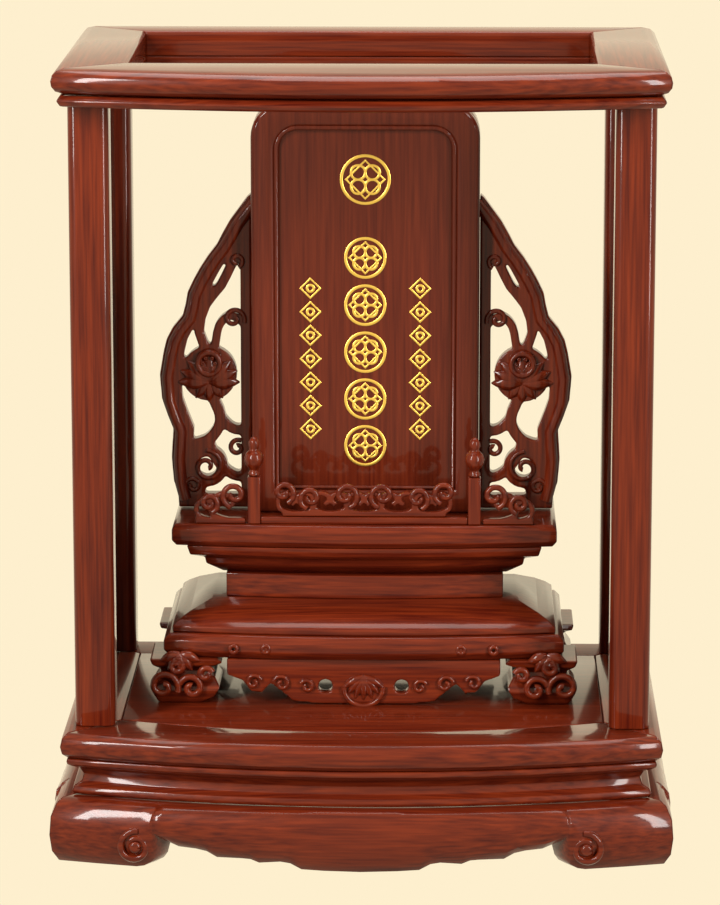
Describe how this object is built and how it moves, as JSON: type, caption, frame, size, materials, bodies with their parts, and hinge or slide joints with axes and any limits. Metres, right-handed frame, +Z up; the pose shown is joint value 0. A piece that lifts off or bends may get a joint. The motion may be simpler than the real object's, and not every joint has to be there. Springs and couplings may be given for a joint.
{
  "type": "ancestor tablet shrine",
  "caption": "Open lacquered rosewood case on scroll feet with a bowed top frame, holding a winged tablet on a carved stand; the stand slides out and the tablet's face slides up.",
  "frame": {"origin": "on the ground under the middle of the bounding box", "axes": "+Z up, -Y towards the open front, +X to the viewer's right"},
  "size_m": [0.433, 0.31, 0.553],
  "materials": {
    "rosewood": "deep red-brown gloss lacquer",
    "facewood": "darker brown satin lacquer",
    "glass": "clear sheet glass",
    "gilt": "gold leaf"
  },
  "bodies": {
    "case": {"front_foot_apron": "rosewood", "left_foot_apron": "rosewood", "right_foot_apron": "rosewood", "rear_foot_apron": "rosewood", "front_waist_moulding": "rosewood", "left_waist_moulding": "rosewood", "right_waist_moulding": "rosewood", "rear_waist_moulding": "rosewood", "front_deck_moulding": "rosewood", "left_deck_moulding": "rosewood", "right_deck_moulding": "rosewood", "rear_deck_moulding": "rosewood", "front_top_rail": "rosewood", "left_top_rail": "rosewood", "right_top_rail": "rosewood", "rear_top_rail": "rosewood", "front_cornice_rail": "rosewood", "left_cornice_rail": "rosewood", "right_cornice_rail": "rosewood", "rear_cornice_rail": "rosewood", "deck_panel": "rosewood", "front_left_post": "rosewood", "front_right_post": "rosewood", "rear_left_post": "rosewood", "rear_right_post": "rosewood", "front_left_block": "rosewood", "front_right_block": "rosewood", "rear_left_block": "rosewood", "rear_right_block": "rosewood", "left_glass": "glass", "right_glass": "glass"},
    "stand": {"stand_frame": "rosewood", "stand_steps": "rosewood", "stand_waist": "rosewood", "stand_cornice": "rosewood", "platform_board": "rosewood", "front_left_leg": "rosewood", "front_right_leg": "rosewood", "rear_left_leg": "rosewood", "rear_right_leg": "rosewood", "stand_front_apron": "rosewood", "stand_rear_rail": "rosewood", "stand_right_apron": "rosewood", "stand_left_apron": "rosewood", "left_baluster": "rosewood", "right_baluster": "rosewood", "left_finial": "rosewood", "right_finial": "rosewood", "balustrade_rail": "rosewood", "centre_fret": "rosewood", "right_fret": "rosewood", "left_fret": "rosewood", "tablet_case": "facewood", "left_name_slip": "rosewood", "right_name_slip": "rosewood", "right_wing": "rosewood", "left_wing": "rosewood"},
    "face": {"slide_board": "facewood", "face_frame": "facewood", "face_panel": "facewood"}
  },
  "joints": [
    {"name": "stand_slide", "type": "slide", "parent": "case", "child": "stand", "axis": [0, -1, 0], "range_m": [0, 0.2]},
    {"name": "face_lift", "type": "slide", "parent": "stand", "child": "face", "axis": [0, 0, 1], "range_m": [0, 0.3]}
  ]
}
